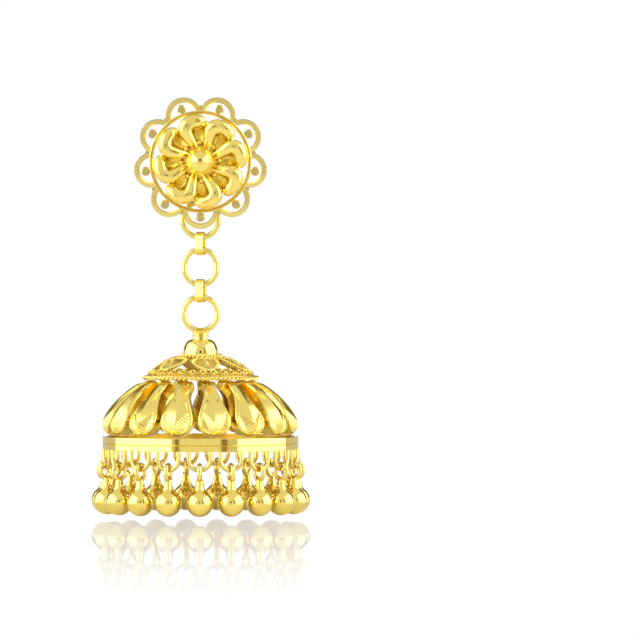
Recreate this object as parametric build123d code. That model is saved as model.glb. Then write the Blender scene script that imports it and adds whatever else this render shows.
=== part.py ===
from build123d import *
import math
import os

# Jhumka earring, millimetres, +Z up. The front of the rosette faces -Y and +X is to the right of someone
# who looks at that front. The origin is on the ear post's axis, in the plane of the rosette's back, where
# the front of the ear lobe rests. The chain and the drop hang in a plane just behind the rosette.

# General
SOLDER_GAP = 0.03           # gap left where two separately made pieces are soldered together
HANG_GAP = 0.03             # gap left where one ring hangs on another
WIRE_D = 0.48               # round wire of the stud loop, the chain ring and the drop's own loop
HANG_Y = WIRE_D / 2 + 0.02  # plane of the stud loop, the chain ring and the drop's axis

# Rosette collar: a strip ring with one flat-topped granule in each scallop
COLLAR_R = 4.66
COLLAR_WALL = 0.36
COLLAR_DEPTH = 0.90
SCALLOPS = 9
SCALLOP_FIRST_DEG = -90
GRANULE_R = 0.42
GRANULE_AT_R = 5.06
GRANULE_DEPTH = 0.50

# Scallop border: arches of flat-topped wire round the collar
ARCH_CENTRE_R = 4.47
ARCH_R = 1.63
ARCH_WIDTH = 0.45
ARCH_DEPTH = 0.42
JUNCTION_R = 0.26
JUNCTION_AT_R = 4.96

# Swirl petals: hollow crescents that curl clockwise, on narrow stems
SWIRL_PETALS = 8
SWIRL_FIRST_DEG = 105
CUP_R = 1.17
CUP_AT = (3.06, 0.0, 1.00)
HOLLOW_R = 1.02
HOLLOW_AT = (3.00, -0.42, 1.70)
STEM_FROM = (2.05, 0.20, 1.35)
STEM_TO = (0.70, 0.0, 1.60)
STEM_R_OUTER = 0.25
STEM_R_INNER = 0.16

# Centre ball
BALL_R = 1.20
BALL_AHEAD = 2.95           # ball centre in front of the rosette's back
BALL_FACETS = 8
BALL_FACET_DEPTH = 0.09

# Ear post
POST_R = 0.45
FOOT_R = 0.62               # part of the post inside the rosette
POST_LENGTH = 19.6          # behind the rosette's back
POST_TIP = 1.4
POST_TIP_R = 0.16
GROOVE_FROM_TIP = 5.3
GROOVE_WIDTH = 0.40
GROOVE_DEPTH = 0.10

# Loops, links and the chain ring
STUD_LOOP_R = 1.625         # middle of the wire
STUD_LOOP_BOTTOM_Z = -7.15
LINK_STRIP_WIDTH = 0.76
LINK_STRIP_T = 0.20
LINK_INNER_WIDTH = 0.80
LINK_INNER_LENGTH = 1.74
CHAIN_RING_R = 1.455
CHAIN_RING_HEIGHT = 3.70
DROP_LOOP_R = 1.54

# Cap of the drop
NECK_R = 0.72
CAP_BASE_R = 1.58
CAP_TOP_Z = -16.15
CAP_BASE_Z = -17.58
CAP_WALL = 0.30
CAP_HOLLOW = 1.02           # height of the hollow under the half ball

# Twisted rings and the pierced crown between them
TOP_RING_R = 1.83
TOP_RING_WIRE_R = 0.21
TOP_RING_Z = -17.68
MID_RING_R = 5.14
MID_RING_WIRE_R = 0.18
MID_RING_Z = -19.65
CROWN_WALL = 0.24
CROWN_RELIEF = 0.22
LEAVES = 6
LEAF_FIRST_DEG = 9.5
LEAF_AT_R = 3.30
LEAF_LENGTH = 2.20
LEAF_WIDTH = 2.30
PIERCING_FROM_R = 2.60
PIERCING_TO_R = 4.10
PIERCING_WIDTH = 1.10

# Pear-shaped petals of the dome, hollow and open at the back
DOME_PETALS = 15
DOME_FIRST_DEG = -14.6
PEAR_TOP_Z = -19.90
PEAR_NECK_Z = -20.90
PEAR_NECK_WIDTH = 1.16
PEAR_R = 1.50
PEAR_CENTRE_Z = -23.38
PEAR_WALL = 0.28
DOME_PROFILE = ((5.30, -19.85), (7.45, -21.45), (8.75, -23.30), (8.98, -24.20), (8.62, -24.95))
FRONT_WALL_SHIFT = (-0.26, -0.18)
CUP_DEPTH_SHIFT = (-0.95, -0.62)
BEYOND_SHIFT = (-1.60, -1.00)

# Rim band and the loops under it
BAND_R = 8.85
BAND_WALL = 0.35
BAND_TOP_Z = -24.96
BAND_BOTTOM_Z = -26.17
BAND_GROOVE_Z = -25.62
BAND_GROOVE_D = 0.14
EYE_WIRE_R = 0.20
EYE_R = 1.00                # middle of the wire
EYE_BOTTOM_Z = -28.03

# Bead drops
BEAD_DROPS = 19
BEAD_R = 1.22
BEAD_Z = -30.80
BEAD_LOOP_WIRE_R = 0.22
BEAD_LOOP_R = 0.56          # middle of the wire, round the ends of the loop
BEAD_LOOP_BOTTOM_Z = -28.95
BEAD_CONE_TOP_R = 0.28
BEAD_CONE_BASE_R = 0.64
BEAD_CONE_TOP_Z = -28.62


def upright(shape):
    """Turn a shape drawn flat, with +Z to its front, so that its front faces -Y."""
    return Rot(90, 0, 0) * shape


def round_axis(shape, azimuth_deg):
    """Turn a shape that stands out along +X to an azimuth counted from the front towards +X."""
    return Rot(0, 0, azimuth_deg - 90) * shape


def hung(shape):
    """Move a shape from the Z axis to the plane in which the drop hangs."""
    return Pos(0, HANG_Y, 0) * shape


def sag(radius, half_width):
    """Height by which a circle falls away over half a width."""
    return radius - math.sqrt(radius ** 2 - half_width ** 2)


def oval_ring(mid_r, straight, wire_r):
    """Closed ring of round wire in the XY plane: two half rings joined by straight runs along Y."""
    half = Torus(mid_r, wire_r, major_angle=180, align=None)
    ring = Pos(0, straight / 2, 0) * half + Pos(0, -straight / 2, 0) * Rot(0, 0, 180) * half
    for side in (-1, 1):
        ring += Pos(side * mid_r, 0, 0) * Rot(90, 0, 0) * Cylinder(wire_r, straight)
    return ring


# Heights of the hanging pieces, each worked out from the one above it
LINK_HALF = LINK_STRIP_WIDTH / 2
UPPER_LINK_TOP_Z = STUD_LOOP_BOTTOM_Z + WIRE_D + sag(STUD_LOOP_R - WIRE_D / 2, LINK_HALF) + HANG_GAP
CHAIN_RING_TOP_Z = (UPPER_LINK_TOP_Z - LINK_INNER_LENGTH + HANG_GAP
                    + sag(CHAIN_RING_R - WIRE_D / 2, LINK_HALF) + WIRE_D)
CHAIN_RING_BOTTOM_Z = CHAIN_RING_TOP_Z - CHAIN_RING_HEIGHT
LOWER_LINK_TOP_Z = (CHAIN_RING_BOTTOM_Z + WIRE_D
                    + sag(CHAIN_RING_R - WIRE_D / 2, LINK_HALF) + HANG_GAP)
DROP_LOOP_TOP_Z = (LOWER_LINK_TOP_Z - LINK_INNER_LENGTH + HANG_GAP
                   + sag(DROP_LOOP_R - WIRE_D / 2, LINK_HALF) + WIRE_D)
DROP_LOOP_Z = DROP_LOOP_TOP_Z - WIRE_D / 2 - DROP_LOOP_R


def rosette_collar():
    """Strip ring with a flat-topped granule soldered on its rim in the middle of each scallop."""
    ring = Cylinder(COLLAR_R, COLLAR_DEPTH) - Cylinder(COLLAR_R - COLLAR_WALL, COLLAR_DEPTH)
    collar = Pos(0, 0, COLLAR_DEPTH / 2) * ring
    granule = Pos(GRANULE_AT_R, 0, GRANULE_DEPTH / 2) * Cylinder(GRANULE_R, GRANULE_DEPTH)
    inside = Pos(0, 0, COLLAR_DEPTH / 2) * Cylinder(COLLAR_R - COLLAR_WALL, COLLAR_DEPTH)
    for i in range(SCALLOPS):
        collar += Rot(0, 0, SCALLOP_FIRST_DEG + i * 360 / SCALLOPS) * granule
    return upright(collar - inside)


def scallop_border():
    """Nine arches of flat wire, joined by a small granule where two of them meet the collar."""
    step = 360 / SCALLOPS
    discs = Sketch()
    for i in range(SCALLOPS):
        discs += Rot(0, 0, SCALLOP_FIRST_DEG + i * step) * Pos(ARCH_CENTRE_R, 0) * Circle(ARCH_R)
    for i in range(SCALLOPS):
        discs -= (Rot(0, 0, SCALLOP_FIRST_DEG + i * step) * Pos(ARCH_CENTRE_R, 0)
                  * Circle(ARCH_R - ARCH_WIDTH))
    for i in range(SCALLOPS):
        discs += Rot(0, 0, SCALLOP_FIRST_DEG + (i + 0.5) * step) * Pos(JUNCTION_AT_R, 0) * Circle(JUNCTION_R)
    return upright(extrude(discs - Circle(COLLAR_R + SOLDER_GAP), ARCH_DEPTH))


def swirl_petal():
    """Hollow crescent at azimuth 0 of the rosette: one ball less a smaller one, on a tapered stem."""
    cup = Pos(*CUP_AT) * Sphere(CUP_R) - Pos(*HOLLOW_AT) * Sphere(HOLLOW_R)
    behind = Pos(CUP_AT[0], 0, -CUP_R) * Box(4 * CUP_R, 4 * CUP_R, 2 * (CUP_R + SOLDER_GAP))
    run = Vector(*STEM_TO) - Vector(*STEM_FROM)
    stem = Plane(origin=STEM_FROM, z_dir=run) * Cone(
        STEM_R_OUTER, STEM_R_INNER, run.length, align=(Align.CENTER, Align.CENTER, Align.MIN))
    return cup - behind + stem


def centre_ball():
    """Ball with a ring of flats cut round its front and one flat at its tip."""
    ball = Sphere(BALL_R)
    cutter = Pos(0, 0, 2 * BALL_R - BALL_FACET_DEPTH) * Box(2 * BALL_R, 2 * BALL_R, 2 * BALL_R)
    ball -= cutter
    for i in range(BALL_FACETS):
        ball -= Rot(0, 0, i * 360 / BALL_FACETS) * Rot(0, 48, 0) * cutter
    return upright(Pos(0, 0, BALL_AHEAD) * ball)


def ear_post():
    """Straight post with a rounded tip and a groove for the ear nut, on a thicker foot that is soldered in
    the rosette and ends level with its back."""
    front = -(BALL_AHEAD - BALL_R - SOLDER_GAP)
    groove_y = POST_LENGTH - GROOVE_FROM_TIP
    half = GROOVE_WIDTH / 2
    shoulder_y = POST_LENGTH - POST_TIP
    outline = Polyline(
        (0, front), (FOOT_R, front), (FOOT_R, 0), (POST_R, 0),
        (POST_R, groove_y - half), (POST_R - GROOVE_DEPTH, groove_y),
        (POST_R, groove_y + half), (POST_R, shoulder_y))
    tip = ThreePointArc(
        (POST_R, shoulder_y), (POST_R * 0.84, POST_LENGTH - POST_TIP / 2), (POST_TIP_R, POST_LENGTH))
    close = Polyline((POST_TIP_R, POST_LENGTH), (0, POST_LENGTH), (0, front))
    return revolve(make_face(outline + tip + close), Axis.Y)


def stud_loop():
    """Wire ring soldered to the back of the collar and of the lowest scallop."""
    loop_z = STUD_LOOP_BOTTOM_Z + WIRE_D / 2 + STUD_LOOP_R
    return Pos(0, HANG_Y, loop_z) * upright(Torus(STUD_LOOP_R, WIRE_D / 2))


def flat_link(inner_top_z):
    """Closed link of flat strip whose hole faces +X and -X."""
    inner_r = LINK_INNER_WIDTH / 2
    straight = LINK_INNER_LENGTH - LINK_INNER_WIDTH
    outline = SlotCenterToCenter(straight, 2 * (inner_r + LINK_STRIP_T))
    outline -= SlotCenterToCenter(straight, 2 * inner_r)
    link = extrude(outline, LINK_HALF, both=True)
    return Pos(0, HANG_Y, inner_top_z - LINK_INNER_LENGTH / 2) * Rot(0, 90, 0) * link


def chain_ring():
    """Slightly oval ring of round wire that hangs between the two flat links."""
    straight = CHAIN_RING_HEIGHT - WIRE_D - 2 * CHAIN_RING_R
    ring = upright(oval_ring(CHAIN_RING_R, straight, WIRE_D / 2))
    return Pos(0, HANG_Y, CHAIN_RING_TOP_Z - CHAIN_RING_HEIGHT / 2) * ring


def drop_cap():
    """The drop's own loop, its ridged neck and the hollow half ball under it, soldered together."""
    loop = Pos(0, 0, DROP_LOOP_Z) * upright(Torus(DROP_LOOP_R, WIRE_D / 2))
    top = DROP_LOOP_Z - DROP_LOOP_R
    neck = Polyline(
        (0, top), (NECK_R * 0.75, top), (NECK_R, top - 0.25), (NECK_R * 0.88, top - 0.40),
        (NECK_R, top - 0.52), (NECK_R * 0.95, CAP_TOP_Z))
    shell = ThreePointArc((NECK_R * 0.95, CAP_TOP_Z), (1.30, -16.72), (CAP_BASE_R, CAP_BASE_Z))
    close = Polyline((CAP_BASE_R, CAP_BASE_Z), (0, CAP_BASE_Z), (0, top))
    body = revolve(Plane.XZ * make_face(neck + shell + close), Axis.Z)
    hollow_r = CAP_BASE_R - CAP_WALL
    ball_r = (hollow_r ** 2 + CAP_HOLLOW ** 2) / (2 * CAP_HOLLOW)
    body -= Pos(0, 0, CAP_BASE_Z + CAP_HOLLOW - ball_r) * Sphere(ball_r)
    return hung(loop + body)


def twisted_ring(mid_r, wire_r, z):
    """Ring of twisted wire, as the ring that its twist fills."""
    return hung(Pos(0, 0, z) * Torus(mid_r, wire_r))


def crown_sheet(lift, thickness):
    """Low domed sheet between the two twisted rings, raised by lift."""
    top = ((2.06, -17.88), (3.60, -18.52), (4.93, -19.42))
    lower = [(r, z - thickness) for r, z in reversed(top)]
    edge = Line(top[2], lower[0])
    inner_edge = Line(lower[2], top[0])
    outline = ThreePointArc(*top) + edge + ThreePointArc(*lower) + inner_edge
    return Pos(0, 0, lift) * revolve(Plane.XZ * make_face(outline), Axis.Z)


def crown():
    """Domed sheet with six raised leaves, pierced by a tapered opening between each two leaves."""
    sheet = crown_sheet(0, CROWN_WALL)
    raised = crown_sheet(CROWN_RELIEF, CROWN_RELIEF + CROWN_WALL / 2)
    leaf = Pos(LEAF_AT_R, 0, -20) * extrude(Ellipse(LEAF_LENGTH / 2, LEAF_WIDTH / 2), 4)
    wedge = Polygon(
        (PIERCING_FROM_R, 0), (PIERCING_TO_R, -PIERCING_WIDTH / 2), (PIERCING_TO_R, PIERCING_WIDTH / 2),
        align=None)
    opening = Pos(0, 0, -20) * extrude(fillet(wedge.vertices(), 0.12), 4)
    step = 360 / LEAVES
    for i in range(LEAVES):
        sheet += round_axis(raised & leaf, LEAF_FIRST_DEG + i * step)
        sheet -= round_axis(opening, LEAF_FIRST_DEG + (i + 0.5) * step)
    return hung(sheet)


def dome_zone(near_shift, far_shift):
    """Part of a solid of revolution between the dome's profile shifted twice, round azimuth +X."""
    near = [(r + near_shift[0], z + near_shift[1]) for r, z in DOME_PROFILE]
    far = [(r + far_shift[0], z + far_shift[1]) for r, z in DOME_PROFILE]
    outline = ThreePointArc(near[0], near[1], near[2]) + ThreePointArc(near[2], near[3], near[4])
    outline += Line(near[4], far[4])
    outline += ThreePointArc(far[4], far[3], far[2]) + ThreePointArc(far[2], far[1], far[0])
    outline += Line(far[0], near[0])
    return Rot(0, 0, -20) * revolve(Plane.XZ * make_face(outline), Axis.Z, revolution_arc=40)


def pear_prism(inset):
    """Pear outline in the YZ plane, drawn smaller by inset and carried along +X."""
    radius = PEAR_R - inset
    half_neck = PEAR_NECK_WIDTH / 2 - inset
    rise = PEAR_NECK_Z - PEAR_CENTRE_Z
    reach = math.hypot(half_neck, rise)
    angle = math.atan2(rise, half_neck) - math.acos(radius / reach)
    touch_y = radius * math.cos(angle)
    touch_z = PEAR_CENTRE_Z + radius * math.sin(angle)
    top_z = PEAR_TOP_Z - inset
    flank = Polygon(
        (half_neck, top_z), (-half_neck, top_z), (-half_neck, PEAR_NECK_Z),
        (-touch_y, touch_z), (touch_y, touch_z), (half_neck, PEAR_NECK_Z), align=None)
    outline = flank + Pos(0, PEAR_CENTRE_Z) * Circle(radius)
    return extrude(Plane.YZ * outline, 12)


def dome_petal():
    """Pear-shaped cup of the dome on azimuth +X: curved front, deep side walls, open at the back."""
    block = dome_zone((0, 0), CUP_DEPTH_SHIFT) & pear_prism(0)
    hollow = dome_zone(FRONT_WALL_SHIFT, BEYOND_SHIFT) & pear_prism(PEAR_WALL)
    return block - hollow


def rim_band():
    """Smooth band with a fine groove, and the wire eyes soldered under it, one for each bead drop."""
    height = BAND_TOP_Z - BAND_BOTTOM_Z
    band = Cylinder(BAND_R, height) - Cylinder(BAND_R - BAND_WALL, height)
    band = Pos(0, 0, BAND_BOTTOM_Z + height / 2) * band
    band -= Pos(0, 0, BAND_GROOVE_Z) * Torus(BAND_R + BAND_GROOVE_D / 4, BAND_GROOVE_D / 2)
    bow_z = EYE_BOTTOM_Z + EYE_WIRE_R + EYE_R
    leg = BAND_BOTTOM_Z + 0.05 - bow_z
    eye = Rot(-90, 0, 0) * Torus(EYE_R, EYE_WIRE_R, major_angle=180, align=None)
    for side in (-1, 1):
        eye += Pos(side * EYE_R, 0, leg / 2) * Cylinder(EYE_WIRE_R, leg)
    eye = Pos(BAND_R - BAND_WALL / 2, 0, bow_z) * Rot(0, 0, 90) * eye
    for i in range(BEAD_DROPS):
        band += round_axis(eye, i * 360 / BEAD_DROPS)
    return hung(band)


def bead_drop():
    """Ball with a conical collar and a long wire loop that hangs in its eye, on azimuth +X."""
    ball = Pos(0, 0, BEAD_Z) * Sphere(BEAD_R)
    cone_base_z = BEAD_Z + math.sqrt(BEAD_R ** 2 - BEAD_CONE_BASE_R ** 2) - 0.05
    cone = Pos(0, 0, cone_base_z) * Cone(
        BEAD_CONE_BASE_R, BEAD_CONE_TOP_R, BEAD_CONE_TOP_Z - cone_base_z,
        align=(Align.CENTER, Align.CENTER, Align.MIN))
    inner_top_z = EYE_BOTTOM_Z + 2 * EYE_WIRE_R + HANG_GAP
    loop_top_z = inner_top_z + 2 * BEAD_LOOP_WIRE_R
    height = loop_top_z - BEAD_LOOP_BOTTOM_Z
    straight = height - 2 * (BEAD_LOOP_R + BEAD_LOOP_WIRE_R)
    loop = Pos(0, 0, loop_top_z - height / 2) * upright(oval_ring(BEAD_LOOP_R, straight, BEAD_LOOP_WIRE_R))
    return Pos(BAND_R - BAND_WALL / 2, 0, 0) * (ball + cone + loop)


def build():
    """Every node's name with its solid."""
    nodes = {
        "rosette_collar": rosette_collar(),
        "scallop_border": scallop_border(),
        "centre_ball": centre_ball(),
        "ear_post": ear_post(),
        "stud_loop": stud_loop(),
        "flat_link_upper": flat_link(UPPER_LINK_TOP_Z),
        "chain_ring": chain_ring(),
        "flat_link_lower": flat_link(LOWER_LINK_TOP_Z),
        "drop_cap": drop_cap(),
        "twisted_ring_top": twisted_ring(TOP_RING_R, TOP_RING_WIRE_R, TOP_RING_Z),
        "crown": crown(),
        "twisted_ring_mid": twisted_ring(MID_RING_R, MID_RING_WIRE_R, MID_RING_Z),
        "rim_band": rim_band(),
    }
    swirl = swirl_petal()
    for i in range(SWIRL_PETALS):
        azimuth = SWIRL_FIRST_DEG - i * 360 / SWIRL_PETALS
        nodes[f"swirl_petal_{i + 1}"] = upright(Rot(0, 0, azimuth) * swirl)
    pear = dome_petal()
    for i in range(DOME_PETALS):
        azimuth = DOME_FIRST_DEG + i * 360 / DOME_PETALS
        nodes[f"dome_petal_{i + 1:02d}"] = hung(round_axis(pear, azimuth))
    bead = bead_drop()
    for i in range(BEAD_DROPS):
        nodes[f"bead_drop_{i + 1:02d}"] = hung(round_axis(bead, i * 360 / BEAD_DROPS))
    return nodes


os.makedirs("parts", exist_ok=True)
for name, shape in build().items():
    export_step(shape, f"parts/{name}.step")
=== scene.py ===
import math

import bmesh
import bpy
import numpy as np
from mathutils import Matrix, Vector


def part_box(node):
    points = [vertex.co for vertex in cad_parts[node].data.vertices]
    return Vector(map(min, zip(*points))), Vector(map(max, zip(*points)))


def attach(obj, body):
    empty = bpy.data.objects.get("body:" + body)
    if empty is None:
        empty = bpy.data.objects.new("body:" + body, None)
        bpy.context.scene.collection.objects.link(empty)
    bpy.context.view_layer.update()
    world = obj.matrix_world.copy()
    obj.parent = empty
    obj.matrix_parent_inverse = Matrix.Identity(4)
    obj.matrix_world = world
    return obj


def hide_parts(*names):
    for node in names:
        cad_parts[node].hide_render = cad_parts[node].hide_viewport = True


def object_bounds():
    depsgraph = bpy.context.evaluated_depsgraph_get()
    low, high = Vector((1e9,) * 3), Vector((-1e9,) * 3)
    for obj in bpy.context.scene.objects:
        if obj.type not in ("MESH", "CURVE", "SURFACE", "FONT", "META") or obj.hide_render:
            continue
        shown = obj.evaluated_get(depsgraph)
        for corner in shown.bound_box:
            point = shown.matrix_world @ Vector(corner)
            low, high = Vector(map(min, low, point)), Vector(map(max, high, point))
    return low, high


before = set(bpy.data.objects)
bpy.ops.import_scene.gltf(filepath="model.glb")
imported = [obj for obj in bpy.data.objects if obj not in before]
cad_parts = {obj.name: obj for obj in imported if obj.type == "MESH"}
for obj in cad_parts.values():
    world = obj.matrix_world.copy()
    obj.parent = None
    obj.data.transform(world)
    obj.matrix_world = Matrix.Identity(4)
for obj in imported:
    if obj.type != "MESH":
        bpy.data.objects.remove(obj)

# Looks of a jhumka earring: pierced rosette stud, ring chain and bell-shaped drop with a fringe of beads.
# Shapes are worked out in millimetres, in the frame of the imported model, and become metres in the mesh.
# A shape of the rosette is drawn flat, with x to the right, y up and z to the front. A shape of the bell that
# is repeated round it is drawn on +X.

bl_info = {
    "name": "Jhumka earring",
    "version": (1, 0, 0),
    "blender": (4, 5, 0),
    "location": "3D View > Sidebar > Jhumka",
    "description": "Builds the looks of a jhumka earring round its packed model",
    "category": "Add Mesh",
}

MM = 0.001
TURN = 2 * math.pi
MERGE_MM = 0.0004
CAD_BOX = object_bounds()


def box(node):
    """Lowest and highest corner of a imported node, in millimetres."""
    low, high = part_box(node)
    return np.array(low) / MM, np.array(high) / MM


def count(prefix):
    """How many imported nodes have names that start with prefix."""
    return sum(name.startswith(prefix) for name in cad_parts)


def turns(first, total):
    """Angles in degrees of evenly spaced copies, from the first one on."""
    return [first + i * 360 / total for i in range(total)]


# ---------------------------------------------------------------- settings


class JhumkaFinishes(bpy.types.PropertyGroup):
    """Colours and polish of the gold."""

    bright: bpy.props.FloatVectorProperty(
        name="Bright", description="Colour of the polished gold", default=(0.94, 0.755, 0.215),
        subtype="COLOR", size=3, min=0, max=1)
    warm: bpy.props.FloatVectorProperty(
        name="Warm", description="Colour that the gold drifts to", default=(0.925, 0.715, 0.16),
        subtype="COLOR", size=3, min=0, max=1)
    # The colour for hollows is painted shade: a darker, more orange gold put into recesses.
    recess: bpy.props.FloatVectorProperty(
        name="Recess", description="Colour of the shaded gold in hollows", default=(0.84, 0.60, 0.085),
        subtype="COLOR", size=3, min=0, max=1)
    polish: bpy.props.FloatProperty(
        name="Polish", description="Lowest roughness of the gold", default=0.04,
        subtype="FACTOR", min=0, max=1)


class JhumkaSizes(bpy.types.PropertyGroup):
    """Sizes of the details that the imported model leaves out."""

    collar_wall: bpy.props.FloatProperty(
        name="Collar wall", description="Thickness of the rosette's strip ring",
        default=0.36 * MM, unit="LENGTH", precision=5)
    cup_wall: bpy.props.FloatProperty(
        name="Cup wall", description="Thickness of the pear cups",
        default=0.15 * MM, unit="LENGTH", precision=5)
    relief: bpy.props.FloatProperty(
        name="Cut relief", description="Height of the cut pyramid on each pear cup",
        default=0.42 * MM, unit="LENGTH", precision=5)
    top_twists: bpy.props.IntProperty(
        name="Upper twists", description="Turns of the upper twisted ring", default=15, min=4)
    mid_twists: bpy.props.IntProperty(
        name="Lower twists", description="Turns of the lower twisted ring", default=36, min=4)


def sizes():
    """The sizes that the scene holds."""
    return bpy.context.scene.jhumka_sizes


# ---------------------------------------------------------------- surfaces


def quads(index, wrap=""):
    """Faces between neighbours in a grid of point numbers. The directions named in wrap, u and v, close on
    themselves."""
    if "u" in wrap:
        index = np.concatenate([index, index[:1]], axis=0)
    if "v" in wrap:
        index = np.concatenate([index, index[:, :1]], axis=1)
    corners = [index[:-1, :-1], index[1:, :-1], index[1:, 1:], index[:-1, 1:]]
    return np.stack(corners, axis=-1).reshape(-1, 4)


class Surface:
    """Grids of points gathered into one closed mesh. Each point has a number from 0 to 1 for how recessed it
    is, which paints shade into its colour, others for how dull and how hatched it is, and the line that the
    hatching follows, in millimetres."""

    def __init__(self):
        self.points = []
        self.numbers = {"recess": [], "satin": [], "hatch": [], "line": []}
        self.faces = []
        self.total = 0

    def grid(self, points, wrap, **numbers):
        """Adds a grid of points (nu, nv, 3), with the numbers of its points."""
        nu, nv = points.shape[:2]
        self.faces.append(quads(np.arange(nu * nv).reshape(nu, nv) + self.total, wrap))
        self.points.append(points.reshape(-1, 3))
        for key, gathered in self.numbers.items():
            gathered.append(np.broadcast_to(numbers.get(key, 0.0), (nu, nv)).reshape(-1))
        self.total += nu * nv
        return self

    def piece(self, name, body, nodes, slot, sharp_deg=35.0):
        """Makes the mesh object: poles and seams merged, faces pointing outwards, riding on its body."""
        points = np.concatenate(self.points) * MM
        faces = np.concatenate(self.faces)
        mesh = bpy.data.meshes.new(name)
        mesh.vertices.add(len(points))
        mesh.vertices.foreach_set("co", points.ravel())
        mesh.loops.add(faces.size)
        mesh.loops.foreach_set("vertex_index", faces.ravel())
        mesh.polygons.add(len(faces))
        mesh.polygons.foreach_set("loop_start", np.arange(0, faces.size, 4))
        mesh.update(calc_edges=True)
        for key, gathered in self.numbers.items():
            layer = mesh.attributes.new(key, "FLOAT", "POINT")
            layer.data.foreach_set("value", np.concatenate(gathered).astype(np.float32))
        shape = bmesh.new()
        shape.from_mesh(mesh)
        bmesh.ops.remove_doubles(shape, verts=shape.verts, dist=MERGE_MM * MM)
        bmesh.ops.recalc_face_normals(shape, faces=shape.faces)
        shape.to_mesh(mesh)
        shape.free()
        mesh.validate()
        mesh.shade_smooth()
        mesh.set_sharp_from_angle(angle=math.radians(sharp_deg))
        mesh.materials.append(finish(slot))
        piece = bpy.data.objects.new(name, mesh)
        bpy.context.scene.collection.objects.link(piece)
        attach(piece, body)
        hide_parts(*nodes)


def unit(vectors):
    """Vectors made one unit long."""
    return vectors / np.linalg.norm(vectors, axis=-1, keepdims=True)


def spokes(angle):
    """Level directions at angles from +X towards +Y."""
    return np.stack([np.cos(angle), np.sin(angle), 0 * angle], axis=-1)


def spline(knots, samples):
    """Smooth curve through evenly numbered knots: a cubic between two knots that leaves each of them towards
    its neighbours."""
    knots = np.asarray(knots, float)
    flat = knots.ndim == 1
    knots = knots[:, None] if flat else knots
    place = np.linspace(0, len(knots) - 1, samples)
    i = np.minimum(place.astype(int), len(knots) - 2)
    f = (place - i)[:, None]
    k = np.concatenate([2 * knots[:1] - knots[1:2], knots, 2 * knots[-1:] - knots[-2:-1]])
    a, b, c, d = k[i], k[i + 1], k[i + 2], k[i + 3]
    curve = 0.5 * (2 * b + (c - a) * f + (2 * a - 5 * b + 4 * c - d) * f ** 2
                   + (-a + 3 * b - 3 * c + d) * f ** 3)
    return curve[:, 0] if flat else curve


def circle(radius, sides):
    """Points of a circle, as a closed profile."""
    angle = np.linspace(0, TURN, sides, endpoint=False)
    return radius * np.stack([np.cos(angle), np.sin(angle)], axis=-1)


def strip(width, height, chamfer):
    """Closed profile of a flat strip: a rectangle with its corners cut off."""
    x, y, c = width / 2, height / 2, chamfer
    return np.array([(x, -y + c), (x, y - c), (x - c, y), (-x + c, y), (-x, y - c), (-x, -y + c),
                     (-x + c, -y), (x - c, -y)])


def oval_path(half_width, half_height, samples):
    """Two half circles joined by straight runs, as (across, up) points spaced evenly: a point goes round a
    centre along the half circles, and moves up and down with it along the straight runs."""
    straight, arc = half_height - half_width, math.pi * half_width
    stops = np.cumsum([0, 2 * straight, arc, 2 * straight, arc])
    s = np.linspace(0, stops[-1], samples, endpoint=False)
    angle = np.interp(s, stops, [0, 0, math.pi, math.pi, TURN])
    centre = np.interp(s, stops, [-straight, straight, straight, -straight, -straight])
    return np.stack([half_width * np.cos(angle), centre + half_width * np.sin(angle)], axis=-1)


def sweep(path, side, profile, closed, scale=1.0):
    """Profile carried along a path. Its first axis follows side, made square to the path, and its second is
    square to both. An open path ends in flat caps, which are rings shrunk to a point."""
    if closed:
        along = np.roll(path, -1, axis=0) - np.roll(path, 1, axis=0)
    else:
        along = np.gradient(path, axis=0)
    along = unit(along)
    side = np.broadcast_to(side, path.shape)
    side = unit(side - np.sum(side * along, axis=-1, keepdims=True) * along)
    up = np.cross(along, side)
    scale = np.broadcast_to(scale, len(path)).astype(float)
    if not closed:
        ends = np.r_[0, np.arange(len(path)), len(path) - 1]
        path, side, up, scale = path[ends], side[ends], up[ends], scale[ends].copy()
        scale[[0, -1]] = 0
    size = scale[:, None, None]
    return (path[:, None] + size * profile[None, :, :1] * side[:, None]
            + size * profile[None, :, 1:] * up[:, None])


def wire_loop(middle, half_width, half_height, wire_r, samples=96, sides=20):
    """Round wire carried along an oval in the XZ plane that it fills to the given half sizes."""
    oval = oval_path(half_width - wire_r, half_height - wire_r, samples)
    path = np.stack([oval[:, 0], 0 * oval[:, 0], oval[:, 1]], axis=-1) + middle
    return sweep(path, np.array([0, 1.0, 0]), circle(wire_r, sides), closed=True)


def rope(path, twists, wire_r, twist_r, sides):
    """Two strands that twist round a path which goes once round the upright axis: each is a helix."""
    angle = np.linspace(0, TURN, len(path), endpoint=False)
    strands = []
    for start in (0, math.pi):
        twist = (twists * angle + start)[:, None]
        spoke = np.cos(twist) * spokes(angle) + np.sin(twist) * np.array([0, 0, 1.0])
        strands.append(sweep(path + twist_r * spoke, spoke, circle(wire_r, sides), closed=True))
    return strands


def lathe(profile, sides):
    """Profile of (radius, height) points turned round the z axis."""
    profile = np.asarray(profile, float)
    angle = np.linspace(0, TURN, sides, endpoint=False)[:, None]
    return np.stack([profile[:, 0] * np.cos(angle), profile[:, 0] * np.sin(angle),
                     profile[:, 1] + 0 * angle], axis=-1)


def round_grain(radius, sides, rows):
    """Small ball: a half circle turned round its axis."""
    arc = np.radians(np.linspace(0, 180, rows))
    return lathe(np.stack([radius * np.sin(arc), radius * np.cos(arc)], axis=-1), sides)


def flat_grain(radius, depth):
    """Profile of a flat-topped grain: upright side, chamfer and flat top."""
    edge = radius * 0.22
    return [(0, 0), (radius * 0.9, 0), (radius, depth * 0.3), (radius, depth - edge),
            (radius - edge, depth), (radius * 0.4, depth), (0, depth)]


def turned(points, degrees):
    """Points turned round the z axis."""
    a = math.radians(degrees)
    c, s = math.cos(a), math.sin(a)
    return np.stack([c * points[..., 0] - s * points[..., 1], s * points[..., 0] + c * points[..., 1],
                     points[..., 2]], axis=-1)


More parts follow.
